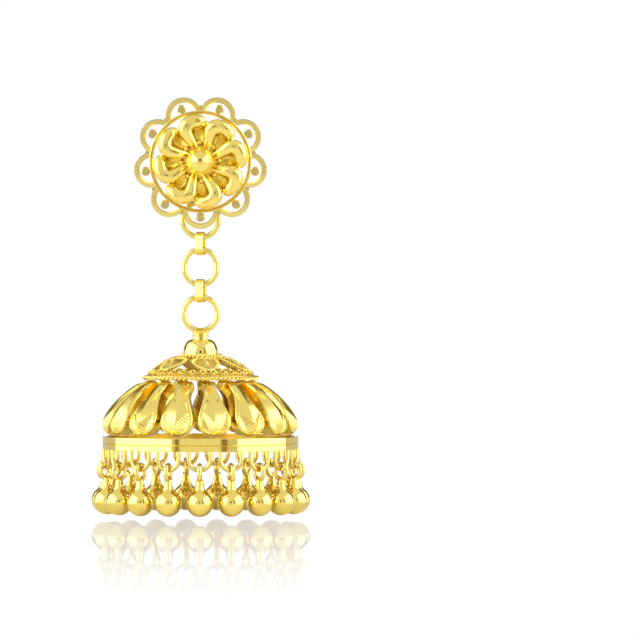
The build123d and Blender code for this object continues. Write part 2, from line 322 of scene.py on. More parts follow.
def upright(points):
    """Points drawn flat, with z to the front, stood up so that their front faces -Y."""
    return np.stack([points[..., 0], -points[..., 2], points[..., 1]], axis=-1)


# ---------------------------------------------------------------- finishes


class Socket:
    """A shader socket or number on which Python's operators add Math nodes."""

    def __init__(self, shader, value):
        self.shader = shader
        self.value = value

    def math(self, operation, *others):
        """A Math node on this value and the others."""
        values = [self.value] + [o.value if isinstance(o, Socket) else o for o in others]
        out = self.shader.node("ShaderNodeMath", {"operation": operation}, dict(enumerate(values)))
        return Socket(self.shader, out.outputs[0])

    def __add__(self, other):
        return self.math("ADD", other)

    def __mul__(self, other):
        return self.math("MULTIPLY", other)

    def __rsub__(self, other):
        return Socket(self.shader, other).math("SUBTRACT", self)

    __radd__ = __add__
    __rmul__ = __mul__


class Shader:
    """Node tree of one finish."""

    def __init__(self, name):
        self.material = bpy.data.materials.new(name)
        self.material.use_nodes = True
        self.tree = self.material.node_tree
        self.tree.nodes.clear()

    def node(self, kind, settings=None, inputs=None):
        """Adds a node: its settings come first, then the values or links of its sockets."""
        made = self.tree.nodes.new(kind)
        for key, value in (settings or {}).items():
            setattr(made, key, value)
        for key, value in (inputs or {}).items():
            value = value.value if isinstance(value, Socket) else value
            if isinstance(value, bpy.types.NodeSocket):
                self.tree.links.new(value, made.inputs[key])
            else:
                made.inputs[key].default_value = value
        return made

    def socket(self, node, output=0):
        """An output of a node, to reckon with."""
        return Socket(self, node.outputs[output])

    def number(self, key):
        """A number that each point of the mesh carries."""
        return self.socket(self.node("ShaderNodeAttribute", {"attribute_name": key}), "Fac")

    def place(self):
        """Where a point is on its piece, in metres."""
        return self.node("ShaderNodeTexCoord").outputs["Object"]

    def height(self, axis):
        """One coordinate of where a point is on its piece."""
        return self.socket(self.node("ShaderNodeSeparateXYZ", {}, {"Vector": self.place()}), axis)

    def cloud(self, size_mm, detail, roughness):
        """Soft noise whose lumps have a size in millimetres."""
        return self.socket(self.node("ShaderNodeTexNoise", {}, {
            "Vector": self.place(), "Scale": 1 / (size_mm * MM), "Detail": detail, "Roughness": roughness}))

    def ramp(self, value, low, high):
        """Smooth step from 0 at low to 1 at high."""
        return self.socket(self.node("ShaderNodeMapRange", {"interpolation_type": "SMOOTHSTEP"}, {
            "Value": value, "From Min": low, "From Max": high}))

    def blend(self, factor, first, second):
        """Colour between two others."""
        mix = self.node("ShaderNodeMix", {"data_type": "RGBA"}, {"Factor": factor, 6: first, 7: second})
        return self.socket(mix, 2)

    def mixed(self, factor, first, second):
        """Surface between two others."""
        return self.node("ShaderNodeMixShader", {}, {0: factor, 1: first.outputs[0], 2: second.outputs[0]})

    def glow(self, color, strength):
        """Surface that gives light evenly."""
        return self.node("ShaderNodeEmission", {}, {"Color": color, "Strength": strength})

    def surface(self, node):
        """Makes a node the finish's surface, and gives the material."""
        self.node("ShaderNodeOutputMaterial", {}, {"Surface": node.outputs[0]})
        return self.material


HATCH_MM = 0.30
SATIN = (0.66, 0.54, 0.22, 1)
WHITE = (1, 1, 1, 1)


def gold(name, color, deep, recess, low_rough, high_rough, grain_mm, bump):
    """Gold whose colour and polish drift over the surface. Where the shape is recessed, the colour is drawn
    towards the colour for hollows as painted shade, and the roughness is raised. Hatched areas carry fine
    engraved lines, which follow the line number, and satin areas are duller."""
    shader = Shader(name)
    cloud, fine = shader.cloud(grain_mm * 6, 3.0, 0.6), shader.cloud(grain_mm, 4.0, 0.65)
    depth, satin, hatch = shader.number("recess"), shader.number("satin"), shader.number("hatch")
    lines = (shader.number("line") * (TURN / HATCH_MM)).math("SINE")
    drift = shader.blend(cloud, (*color, 1), (*deep, 1))
    # Painted shade: the colour goes towards the colour for hollows as far as a point is recessed.
    tint_and_shade = shader.blend(depth, drift, (*recess, 1))
    dull = shader.blend(satin, tint_and_shade, SATIN)
    rough = low_rough + (high_rough - low_rough) * (0.5 * cloud + 0.5 * fine) + 0.12 * depth + 0.14 * satin
    relief = bump * fine + 0.4 * hatch * lines
    normal = shader.node("ShaderNodeBump", {}, {"Strength": 1.0, "Distance": 0.02 * MM, "Height": relief})
    return shader.surface(shader.node("ShaderNodeBsdfPrincipled", {}, {
        "Base Color": dull, "Metallic": 1.0, "Roughness": rough, "Normal": normal.outputs[0]}))


# How far the roughness of each finish lies over the polish at its least and its most, its grain in
# millimetres and the strength of its bumps.
FINISHES = {
    "gold_polished": (0.0, 0.04, 0.10, 0.02),
    "gold_cut": (0.03, 0.16, 0.07, 0.22),
    "gold_filigree": (0.08, 0.24, 0.05, 0.35),
}


def finish(slot):
    """The finish of a material slot, made once from the settings."""
    name = f"{slot}_finish"
    if name in bpy.data.materials:
        return bpy.data.materials[name]
    look = bpy.context.scene.jhumka_finishes
    least, most, grain_mm, bump = FINISHES[slot]
    return gold(name, tuple(look.bright), tuple(look.warm), tuple(look.recess),
                look.polish + least, look.polish + most, grain_mm, bump)


# ---------------------------------------------------------------- rosette

SCALLOPS = turns(-90.0, 9)
COLLAR_GRAIN_R, COLLAR_GRAIN_DEPTH = 0.42, 0.50
ARCH_R, ARCH_WIDTH = 1.39, 0.48
KNOB_R, KNOB_INSET = 0.20, 1.16


def ring_profile(outer, wall, depth):
    """Closed profile of the strip ring: a groove between two bright edges at its front."""
    inner, edge = outer - wall, 0.05
    groove = inner + wall * 0.45
    return [(inner, 0), (outer, 0), (outer, depth - edge), (outer - edge, depth),
            (groove + edge, depth), (groove, depth - 2 * edge), (groove - edge / 2, depth - edge / 2),
            (inner + edge, depth - edge / 2), (inner, depth - edge)]


class JHUMKA_OT_collar(bpy.types.Operator):
    """Strip ring: its profile turned round the centre, with a flat-topped grain in each scallop"""

    bl_idname = "jhumka.collar"
    bl_label = "Add collar"

    def execute(self, context):
        low, high = box("rosette_collar")
        grain_at = max(-low[2], high[0]) - COLLAR_GRAIN_R
        ring_r = grain_at - COLLAR_GRAIN_R + 0.02
        ring = lathe(ring_profile(ring_r, sizes().collar_wall / MM, high[1] - low[1]), 144)
        grain = lathe(flat_grain(COLLAR_GRAIN_R, COLLAR_GRAIN_DEPTH), 28) + np.array([grain_at, 0, 0])
        shape = Surface().grid(upright(ring), "uv")
        for turn in SCALLOPS:
            shape.grid(upright(turned(grain, turn)), "u", satin=0.7)
        shape.piece("collar_strip", "stud", ["rosette_collar"], "gold_cut")
        return {"FINISHED"}


class JHUMKA_OT_scallops(bpy.types.Operator):
    """Arches: a flat, slightly tilted wire profile carried along half circles, with grains at their feet"""

    bl_idname = "jhumka.scallops"
    bl_label = "Add scallop arches"

    def execute(self, context):
        low, high = box("scallop_border")
        depth, reach, half = high[1] - low[1], -low[2], ARCH_WIDTH / 2
        out = spokes(np.radians(np.linspace(-93, 93, 60)))
        path = ARCH_R * out + np.array([reach - ARCH_R - half, 0, 0])
        wire = np.array([(-half, 0.03), (-half + 0.04, 0), (half - 0.04, 0), (half, 0.04),
                         (half, depth - 0.14), (half - 0.05, depth - 0.06), (-half + 0.09, depth),
                         (-half, depth - 0.07)])
        arch = sweep(path, out, wire * np.array([1, -1]), closed=False)
        knob = lathe(flat_grain(KNOB_R, depth - 0.06), 20) + np.array([reach - KNOB_INSET, 0, 0])
        shape = Surface()
        for turn in SCALLOPS:
            shape.grid(upright(turned(arch, turn)), "v", satin=0.5)
            shape.grid(upright(turned(knob, turn + 180 / len(SCALLOPS))), "u", satin=0.6)
        shape.piece("scallop_arches", "stud", ["scallop_border"], "gold_cut")
        return {"FINISHED"}


# Spine and inner edge of a swirl petal that points along +X, as (outward, counter-clockwise), with the height
# and radius of the roll on its spine and the depth of its hollow, from the centre to the tip.
PETAL_SPINE = [(0.95, -0.02), (1.50, 0.14), (2.18, 0.38), (2.90, 0.58), (3.40, 0.42), (3.65, -0.02),
               (3.66, -0.52), (3.48, -1.00), (3.16, -1.26)]
PETAL_INNER = [(0.80, -0.46), (1.33, -0.72), (1.85, -0.94), (2.20, -1.10), (2.45, -1.22), (2.64, -1.32),
               (2.80, -1.38), (2.98, -1.42), (3.20, -1.42)]
PETAL_RIM = [1.30, 1.50, 1.62, 1.68, 1.68, 1.64, 1.58, 1.50, 1.42]
PETAL_ROLL = [0.22, 0.38, 0.53, 0.65, 0.68, 0.66, 0.63, 0.55, 0.34]
PETAL_DEPTH = [0.20, 0.42, 0.66, 0.84, 0.92, 0.92, 0.84, 0.62, 0.30]
# Section of its sheet: the share of the way from the inner edge to the spine, and how far it lies below the
# roll's middle, as a share of the hollow's depth and in millimetres.
PETAL_SECTION = [(0.00, 0.86, 0.0), (0.04, 0.80, 0.0), (0.10, 0.84, 0.0), (0.24, 0.94, 0.0),
                 (0.42, 1.00, 0.0), (0.58, 0.92, 0.0), (0.72, 0.66, 0.0), (0.86, 0.34, 0.0),
                 (1.00, 0.10, 0.0), (1.00, 0.55, 0.1), (0.50, 1.12, 0.1), (0.04, 1.00, 0.1)]
PETAL_STEPS = 48
PETAL_FIRST = 105.0
PETAL_GRAIN_R, PETAL_GRAIN_AT = 0.25, (1.72, -0.36, 1.42)


def swirl_petal():
    """Curved scoop in two grids. A thick roll of rounded-square section follows the petal's spine and hooks
    round its tip. A hollow sheet runs from a low lip on the petal's inner edge, through its floor, up to the
    middle of the roll, and back along its underside."""
    spine, inner = spline(PETAL_SPINE, PETAL_STEPS), spline(PETAL_INNER, PETAL_STEPS)
    rim, depth = spline(PETAL_RIM, PETAL_STEPS)[:, None], spline(PETAL_DEPTH, PETAL_STEPS)[:, None]
    square = circle(1.0, 18)
    square = np.sign(square) * np.abs(square) ** 0.82
    roll = sweep(np.concatenate([spine, rim], axis=-1), np.array([0, 0, 1.0]), square, closed=False,
                 scale=spline(PETAL_ROLL, PETAL_STEPS))
    share, drop, more = np.array(PETAL_SECTION).T
    flat = inner[:, None] + share[None, :, None] * (spine - inner)[:, None]
    sheet = np.concatenate([flat, (rim - drop * depth - more)[..., None]], axis=-1)
    ends = [np.broadcast_to(row.mean(axis=0), (1, *row.shape)) for row in sheet[[0, -1]]]
    sheet = np.concatenate([ends[0], sheet, ends[1]])
    # The last number returned paints shade into the sheet's hollow, deepest where it lies lowest.
    return roll, sheet, np.clip(1.15 * drop, 0, 1) * (share > 0.08)


class JHUMKA_OT_swirl(bpy.types.Operator):
    """Eight scoops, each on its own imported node, with a grain on the tail of each"""

    bl_idname = "jhumka.swirl"
    bl_label = "Add swirl cups"

    def execute(self, context):
        roll, sheet, recess = swirl_petal()
        grain = round_grain(PETAL_GRAIN_R, 14, 9) + np.array(PETAL_GRAIN_AT)
        total = count("swirl_petal_")
        for i in range(total):
            turn = PETAL_FIRST - i * 360 / total
            shape = Surface()
            # The sheet's hollow and the grain are painted with shade.
            shape.grid(upright(turned(roll, turn)), "v")
            shape.grid(upright(turned(sheet, turn)), "v", recess=recess)
            shape.grid(upright(turned(grain, turn)), "u", recess=0.1)
            shape.piece(f"swirl_scoop_{i + 1}", "stud", [f"swirl_petal_{i + 1}"], "gold_cut", sharp_deg=38)
        return {"FINISHED"}


# How far the corners and the tip of the faceted ball reach, as shares of the round ball's radius.
BALL_CORNERS, BALL_TIP = 1.10, 1.02


class JHUMKA_OT_ball(bpy.types.Operator):
    """Ball cut into flat facets: rings of eight round it, and a blunt point of eight at its tip"""

    bl_idname = "jhumka.ball"
    bl_label = "Add faceted ball"

    def execute(self, context):
        low, high = box("centre_ball")
        radius = (high[0] - low[0]) / 2
        polar = np.radians([0, 13, 44, 78, 112, 146, 180])
        across, ahead = radius * BALL_CORNERS * np.sin(polar), radius * BALL_TIP * np.cos(polar)
        facets = lathe(np.stack([across, ahead], axis=-1), 8)
        shape = Surface().grid(upright(facets + np.array([0, 0, radius - high[1]])), "u")
        shape.piece("faceted_ball", "stud", ["centre_ball"], "gold_cut", sharp_deg=5)
        return {"FINISHED"}


NUT_GROOVE_BACK, NUT_GROOVE_HALF, NUT_GROOVE_DEPTH = 5.3, 0.2, 0.10
POST_TAPER = 1.4


class JHUMKA_OT_post(bpy.types.Operator):
    """Post turned round its axis: straight, with a groove for the nut and a rounded tip"""

    bl_idname = "jhumka.post"
    bl_label = "Add ear post"

    def execute(self, context):
        low, high = box("ear_post")
        radius, start, tip = (high[0] - low[0]) / 2, low[1], high[1]
        groove, half = tip - NUT_GROOVE_BACK, NUT_GROOVE_HALF
        shaft = [(0, start), (radius * 0.9, start), (radius, start + 0.05), (radius, groove - half),
                 (radius - 0.07, groove - half / 3), (radius - NUT_GROOVE_DEPTH, groove),
                 (radius - 0.07, groove + half / 3), (radius, groove + half)]
        e = np.linspace(0, 1, 14)[:-1]
        nose = np.stack([radius * (1 - 0.64 * e ** 2.2), tip - POST_TAPER * (1 - e)], axis=-1)
        end = [(radius * 0.30, tip - 0.02), (radius * 0.15, tip), (0, tip)]
        bar = lathe(np.concatenate([shaft, nose, end]), 48)
        shape = Surface().grid(np.stack([bar[..., 0], bar[..., 2], bar[..., 1]], axis=-1), "u")
        shape.piece("post", "stud", ["ear_post"], "gold_polished")
        return {"FINISHED"}


# ---------------------------------------------------------------- chain

LINK_TURN = -17.0
LINK_THICK, LINK_CHAMFER = 0.14, 0.04


class JHUMKA_OT_round_rings(bpy.types.Operator):
    """The stud's loop and the chain's ring: round wire carried along the ovals that fill their boxes"""

    bl_idname = "jhumka.round_rings"
    bl_label = "Add round rings"

    def execute(self, context):
        for node, name, body in (("stud_loop", "loop_wire", "stud"), ("chain_ring", "ring_link", "chain")):
            low, high = box(node)
            half = (high - low) / 2
            wire = wire_loop((low + high) / 2, half[0], half[2], half[1])
            shape = Surface().grid(wire, "uv", satin=0.25)
            shape.piece(name, body, [node], "gold_polished")
        return {"FINISHED"}


class JHUMKA_OT_strip_links(bpy.types.Operator):
    """Flat strip carried along an oval in the YZ plane, then turned a little round its upright axis"""

    bl_idname = "jhumka.strip_links"
    bl_label = "Add strip links"

    def execute(self, context):
        for node, name in (("flat_link_upper", "strip_link_upper"), ("flat_link_lower", "strip_link_lower")):
            low, high = box(node)
            oval = oval_path(*(high[1:] - low[1:] - LINK_THICK) / 2, 72)
            path = np.stack([0 * oval[:, 0], oval[:, 0], oval[:, 1]], axis=-1)
            profile = strip(high[0] - low[0], LINK_THICK, LINK_CHAMFER)
            link = turned(sweep(path, np.array([1.0, 0, 0]), profile, closed=True), LINK_TURN)
            shape = Surface().grid(link + (low + high) / 2, "uv")
            shape.piece(name, "chain", [node], "gold_polished")
        return {"FINISHED"}


# ---------------------------------------------------------------- bell

HANG_Y = float(sum(box("twisted_ring_top"))[1] / 2)
HANG = np.array([0, HANG_Y, 0])
CAP_WIRE_R, CAP_WALL, CAP_NECK_R = 0.24, 0.18, 0.70
CAP_EDGE, CAP_RISE, CAP_HOLLOW_RISE = 0.12, 1.31, 1.05


def azimuth(points, degrees):
    """Points drawn on +X turned to an azimuth from the front towards +X, round the drop's axis."""
    return turned(points, degrees - 90) + HANG


class JHUMKA_OT_cap(bpy.types.Operator):
    """Loop of round wire, and a turned neck with two ridges over a half ball that is hollow below"""

    bl_idname = "jhumka.cap"
    bl_label = "Add cap and loop"

    def execute(self, context):
        low, high = box("drop_cap")
        half = (high[0] - low[0]) / 2
        base, foot = (high[1] - low[1]) / 2, low[2]
        centre = np.array([0, HANG_Y, high[2] - half])
        top, shoulder = centre[2] - (half - CAP_WIRE_R), foot + CAP_EDGE
        turn = np.radians(np.linspace(0, 90, 18))
        neck = [(0, top + 0.16), (0.30, top + 0.15), (0.50, top + 0.06), (0.66, top - 0.10),
                (0.74, top - 0.20), (0.74, top - 0.27), (0.63, top - 0.34), (0.63, top - 0.40),
                (0.75, top - 0.46), (0.75, top - 0.53), (0.68, top - 0.58)]
        bulb = np.stack([CAP_NECK_R + (base - CAP_NECK_R) * np.sin(turn) ** 0.92,
                         shoulder + CAP_RISE * np.cos(turn)], axis=-1)
        edge = [(base, foot), (base - CAP_WALL, foot)]
        hollow = np.stack([(base - CAP_WALL) * np.sin(turn), foot + CAP_HOLLOW_RISE * np.cos(turn)], axis=-1)
        body = lathe(np.concatenate([neck, bulb, edge, hollow[-2::-1]]), 64) + HANG
        # The hollow underside is painted in full shade.
        recess = np.r_[np.zeros(len(neck) + len(bulb) + 1), np.ones(len(hollow))]
        shape = Surface()
        shape.grid(wire_loop(centre, half, half, CAP_WIRE_R), "uv")
        shape.grid(body, "u", recess=recess)
        shape.piece("cap_and_loop", "drop", ["drop_cap"], "gold_polished")
        return {"FINISHED"}


ROPE_SIDES = 10
ROPE_STEPS = 18


class JHUMKA_OT_rope_rings(bpy.types.Operator):
    """Two strands that twist round each other along a circle"""

    bl_idname = "jhumka.rope_rings"
    bl_label = "Add rope rings"

    def execute(self, context):
        between = 0.5 - 0.5 * np.cos(np.linspace(0, TURN, ROPE_SIDES, endpoint=False))
        for node, name, twists in (("twisted_ring_top", "rope_ring_top", sizes().top_twists),
                                   ("twisted_ring_mid", "rope_ring_mid", sizes().mid_twists)):
            low, high = box(node)
            thick = (high[2] - low[2]) / 2
            radius, strand_r = (high[0] - low[0]) / 2 - thick, thick * 0.46
            angle = np.linspace(0, TURN, twists * ROPE_STEPS, endpoint=False)
            path = (low + high) / 2 + radius * spokes(angle)
            shape = Surface()
            # Painted shade where the two strands meet.
            for strand in rope(path, twists, strand_r, thick - strand_r, ROPE_SIDES):
                shape.grid(strand, "uv", recess=0.8 * between ** 0.7, satin=0.2)
            shape.piece(name, "drop", [node], "gold_filigree")
        return {"FINISHED"}


LEAVES = turns(9.5, 6)
LEAF_LENGTH, LEAF_WIDTH, LEAF_MIDDLE, LEAF_EGG = 1.02, 1.14, 3.32, 0.18
LEAF_BORDER_WIRE, LEAF_BORDER_TWIST, LEAF_BORDER_TWISTS = 0.085, 0.08, 16
CROWN_LOW, CROWN_HIGH = box("crown")
CROWN_R = (CROWN_HIGH[0] - CROWN_LOW[0]) / 2
CROWN_HOLE_R, CROWN_SLOPE, CROWN_CURVE = 2.06, 0.276, 0.091
CROWN_ARCHES = turns(15.5, 30)
CROWN_ARCH_R, CROWN_ARCH_WIRE, CROWN_GRAIN_R = 0.36, 0.085, 0.12


def crown_height(r):
    """Height of the crown's domed sheet at a radius: it falls faster the further out."""
    from_edge = r - CROWN_HOLE_R
    return CROWN_HIGH[2] - 0.20 - CROWN_SLOPE * from_edge - CROWN_CURVE * from_edge ** 2


def crown_point(r, angle, lift):
    """Point above the sheet at a radius and an angle from +X."""
    return np.stack([r * np.cos(angle), r * np.sin(angle), crown_height(r) + lift], axis=-1)


def sheet_ring(inner, outer, thick):
    """Closed ring of sheet that follows the crown between two radii."""
    r = np.linspace(inner, outer, 6)
    top = np.stack([r, crown_height(r)], axis=-1)
    return lathe(np.concatenate([top, top[::-1] - np.array([0, thick])]), 112) + HANG


def leaf_flat(s, t):
    """Outward and across of points on an egg-shaped leaf, at a share of the way to its edge."""
    return s * np.cos(t) * LEAF_LENGTH, s * np.sin(t) * LEAF_WIDTH * (1 - LEAF_EGG * np.cos(t))


def leaf_plate():
    """Oval leaf on +X with a sharp rib along its middle and slanting veins, how deep each point of it lies,
    which paints shade into its valleys and all of its underside, and the two strands of the rope border round
    it."""
    s = np.r_[0, np.linspace(0.08, 1, 13)][:, None]
    along, across = leaf_flat(s, np.linspace(0, TURN, 72, endpoint=False)[None, :])
    edge = 1 - s ** 2
    veins = 0.06 * np.sin(TURN * (1.7 * along - 1.5 * np.abs(across))) * edge ** 0.5
    rib = 0.20 * np.exp(-np.abs(across - 0.25 * along) / 0.16) * edge + 0.10 * edge
    r = LEAF_MIDDLE + along
    top, under = crown_point(r, across / r, 0.08 + rib + veins), crown_point(r, across / r, -0.08)
    # Painted shade in the valleys between rib and veins, and full on the underside.
    hollow = np.clip(0.75 - 3.2 * (rib + veins), 0, 0.8)
    recess = np.concatenate([hollow, np.full(hollow.shape, 0.9)])
    out, side = leaf_flat(1.0, np.linspace(0, TURN, 12 * LEAF_BORDER_TWISTS, endpoint=False))
    path = crown_point(LEAF_MIDDLE + out, side / (LEAF_MIDDLE + out), 0.12)
    border = rope(path, LEAF_BORDER_TWISTS, LEAF_BORDER_WIRE, LEAF_BORDER_TWIST, 7)
    return np.concatenate([top, under[::-1]]), recess, border


class JHUMKA_OT_crown(bpy.types.Operator):
    """Two rings of sheet joined by six leaves, with a row of small arches at the foot"""

    bl_idname = "jhumka.crown"
    bl_label = "Add leaf crown"

    def execute(self, context):
        shape = Surface()
        # Painted shade: full on the sheet rings, partial on the leaves, their rope borders and the arches.
        for inner, outer, thick in ((1.80, 2.42, 0.20), (4.28, CROWN_R, 0.18)):
            shape.grid(sheet_ring(inner, outer, thick), "uv", recess=1.0, satin=0.6)
        plate, recess, border = leaf_plate()
        for turn in LEAVES:
            shape.grid(azimuth(plate, turn), "v", recess=0.4 + 0.6 * recess, satin=0.5)
            for strand in border:
                shape.grid(azimuth(strand, turn), "uv", recess=0.4, satin=0.25)
        bow = np.radians(np.linspace(-90, 90, 18))
        foot_r = CROWN_R - 0.12
        inward, across = CROWN_ARCH_R * 1.3 * np.cos(bow), CROWN_ARCH_R * np.sin(bow)
        arch = crown_point(foot_r - inward, across / foot_r, 0.10)
        wire = sweep(arch, np.array([0, 0, 1.0]), circle(CROWN_ARCH_WIRE, 8), closed=False)
        grain = round_grain(CROWN_GRAIN_R, 10, 7) + crown_point(np.array(foot_r - 0.12), 0.0, 0.08)
        for turn in CROWN_ARCHES:
            shape.grid(azimuth(wire, turn), "v", recess=0.5, satin=0.2)
            shape.grid(azimuth(grain, turn), "u")
        shape.piece("leaf_crown", "drop", ["crown"], "gold_filigree")
        return {"FINISHED"}


BAND_LOW, BAND_HIGH = box("rim_band")
BAND_R = float(BAND_HIGH[0] - BAND_LOW[0]) / 2
PEAR_LOW, PEAR_HIGH = box("dome_petal_01")
PEAR_R, PEAR_NECK, PEAR_NECK_LENGTH, PEAR_DEPTH = 1.50, 0.58, 1.0, 1.15
PEAR_APEX = PEAR_LOW[2] + 1.28
PEAR_FIRST = -14.6
BORDER = 0.24
DOME_OVER_BAND, DOME_LEVEL = 0.13, PEAR_LOW[2] + 0.73
DOME_RISE, DOME_POWER, DOME_FALL = 5.635, 1.584, 2.855


def dome_radius(z):
    """Outside of the bell at a height: widest low down, drawn in quickly below and slowly above."""
    above = np.clip((z - DOME_LEVEL) / DOME_RISE, 0, 0.999) ** DOME_POWER
    below = np.clip((DOME_LEVEL - z) / DOME_FALL, 0, 0.999) ** 2
    return (BAND_R + DOME_OVER_BAND) * np.sqrt(1 - above - below)


def pear_outline(samples):
    """Pear outline as (across, height): straight neck, straight flanks that touch a round foot."""
    top, neck_z, centre = PEAR_HIGH[2], PEAR_HIGH[2] - PEAR_NECK_LENGTH, PEAR_LOW[2] + PEAR_R
    rise = neck_z - centre
    touch = math.atan2(rise, PEAR_NECK) - math.acos(PEAR_R / math.hypot(PEAR_NECK, rise))
    arc = np.linspace(touch, -math.pi / 2, 40)
    neck = [(0, top), (PEAR_NECK * 0.92, top), (PEAR_NECK, top - 0.08), (PEAR_NECK * 0.94, neck_z + 0.3),
            (PEAR_NECK, neck_z)]
    foot = np.stack([PEAR_R * np.cos(arc), centre + PEAR_R * np.sin(arc)], axis=-1)
    half = np.concatenate([neck, foot])
    loop = np.concatenate([half, half[::-1][1:-1] * np.array([-1, 1]), half[:1]])
    run = np.r_[0, np.cumsum(np.linalg.norm(np.diff(loop, axis=0), axis=1))]
    s = np.linspace(0, run[-1], samples, endpoint=False)
    return np.stack([np.interp(s, run, loop[:, 0]), np.interp(s, run, loop[:, 1])], axis=-1)


def pear_relief(across, height, relief):
    """Height of four cut planes that meet at the apex: two share a ridge up to the neck, and two slope to
    the foot from a V."""
    up, side = height - PEAR_APEX, np.abs(across)
    return np.minimum(relief - 0.05 * up - 0.32 * side, relief + 0.30 * up - 0.66 * side)


def pear_cup():
    """Pear cup on +X. Rows run from the apex over the cut front to the rounded border, which follows the
    outline at an even distance, then back along the side walls, round the open edge and along the inside to
    the apex again, so the surface closes at two poles."""
    outline = pear_outline(112)
    relief, wall = sizes().relief / MM, sizes().cup_wall / MM
    centre = np.array([0, PEAR_APEX])
    spread = outline - centre

    def front(s, inset, shrink=1.0, back=0.0):
        """Points at a share of the way from the apex to the outline: the bell's outside, rounded down towards
        the edge, which is inset millimetres away, and raised by the cut planes within the border."""
        flat = centre + s[..., None] * spread * shrink
        across, height = flat[..., 0], flat[..., 1]
        soft = np.clip(1 - inset / BORDER, 0, 1)
        rounding = BORDER * (1 - np.sqrt(1 - 0.96 * soft ** 2))
        cut = np.maximum(pear_relief(across, height, relief), -0.10) * np.clip((inset - BORDER) / 0.05, 0, 1)
        return np.stack([dome_radius(height) - relief - rounding + cut - back, across, height], axis=-1)

    along = unit(np.roll(outline, -2, axis=0) - np.roll(outline, 2, axis=0))
    square = np.abs(along[:, 1] * spread[:, 0] - along[:, 0] * spread[:, 1])
    square = np.convolve(np.r_[square[-3:], square, square[:3]], np.ones(7) / 7, "valid")
    insets = BORDER * np.array([1.24, 1.0, 0.8, 0.6, 0.42, 0.26, 0.13, 0.04, 0.0])[:, None]
    edge_s = np.clip(1 - insets / square, 0.35, 1)
    rays = np.linspace(0, 1, 13)[:-1, None] * edge_s[:1]
    s = np.concatenate([rays, edge_s])
    inset = np.concatenate([np.ones(rays.shape), np.broadcast_to(insets, edge_s.shape)])
    face = front(s, inset)

    even = np.ones((1, len(outline)))
    inner = 1 - wall / 1.3
    upward = (outline[:, 1] - PEAR_LOW[2]) / (PEAR_HIGH[2] - PEAR_LOW[2])
    walls = []
    for part, shrink in ((0.25, 1.0), (0.6, 0.985), (1.0, 0.95), (1.0, 0.95 * inner), (0.5, inner),
                         (0.1, inner)):
        ring = front(even, 0.0, shrink, PEAR_DEPTH * part)
        ring[..., 2] -= 0.45 * upward * part
        walls.append(ring)
    inside = front(np.linspace(0.93, 0, 12)[:, None] * even, 1.0, inner, wall + 0.05)
    rows = np.concatenate([face, *walls, inside])

    # Painted shade, growing along the side walls and full inside the cup.
    recess = np.r_[np.zeros(len(face)), 0.15, 0.35, 0.6, 0.8, 0.9, 1.0, np.ones(len(inside))][:, None]
    side = np.abs(rows[..., 1])
    hatch = np.zeros(rows.shape[:2])
    below = face[..., 2] - PEAR_APEX < side[:len(face)]
    hatch[:len(face)] = below * np.clip((inset - BORDER) / 0.1, 0, 1) * np.clip(s / 0.15, 0, 1)
    return rows, recess, hatch, rows[..., 2] + 0.8 * side


class JHUMKA_OT_pears(bpy.types.Operator):
    """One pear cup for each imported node, turned to its azimuth"""

    bl_idname = "jhumka.pears"
    bl_label = "Add pear cups"

    def execute(self, context):
        cup, recess, hatch, line = pear_cup()
        for i, turn in enumerate(turns(PEAR_FIRST, count("dome_petal_")), 1):
            shape = Surface().grid(azimuth(cup, turn), "v", recess=recess, hatch=hatch, line=line)
            shape.piece(f"pear_cup_{i:02d}", "drop", [f"dome_petal_{i:02d}"], "gold_cut", sharp_deg=12)
        return {"FINISHED"}


BEADS = turns(0, count("bead_drop_"))
BAND_WALL, BAND_HEIGHT, BAND_TOP = 0.35, 1.21, PEAR_LOW[2] - 0.08
EYE_R, EYE_WIRE = 1.0, 0.20
FRINGE_R = BAND_R - BAND_WALL / 2
BEAD_NECK, BEAD_WIRE, BEAD_LOOP_HALF = 2.18, 0.22, 0.78


class JHUMKA_OT_band(bpy.types.Operator):
    """Turned band with a fine groove, and a bow of round wire under it for each bead"""

    bl_idname = "jhumka.band"
    bl_label = "Add band with eyes"

    def execute(self, context):
        low, groove = BAND_TOP - BAND_HEIGHT, BAND_TOP - BAND_HEIGHT * 0.55
        outer, inner, soft = BAND_R, BAND_R - BAND_WALL, 0.05
        profile = [(inner, low + soft), (inner + soft, low), (outer - soft, low), (outer, low + soft),
                   (outer, groove - 0.07), (outer - 0.06, groove - 0.02), (outer - 0.06, groove + 0.02),
                   (outer, groove + 0.07), (outer, BAND_TOP - soft), (outer - soft, BAND_TOP),
                   (inner + soft, BAND_TOP), (inner, BAND_TOP - soft)]
        # Painted shade on the inner edges and in the groove.
        recess = np.array([0.7, 0.3, 0, 0, 0, 0.5, 0.5, 0, 0, 0, 0.3, 0.7])
        shape = Surface().grid(lathe(profile, 224) + HANG, "uv", recess=recess)
        angle = np.radians(np.linspace(0, 180, 25))
        bow_z = BAND_LOW[2] + EYE_WIRE + EYE_R
        across = np.r_[EYE_R, EYE_R * np.cos(angle), -EYE_R]
        height = np.r_[low + 0.03, bow_z - EYE_R * np.sin(angle), low + 0.03]
        path = np.stack([np.full(len(across), FRINGE_R), across, height], axis=-1)
        eye = sweep(path, np.array([1.0, 0, 0]), circle(EYE_WIRE, 12), closed=False)
        for turn in BEADS:
            shape.grid(azimuth(eye, turn), "v", satin=0.35)
        shape.piece("band_with_eyes", "drop", ["rim_band"], "gold_polished")
        return {"FINISHED"}


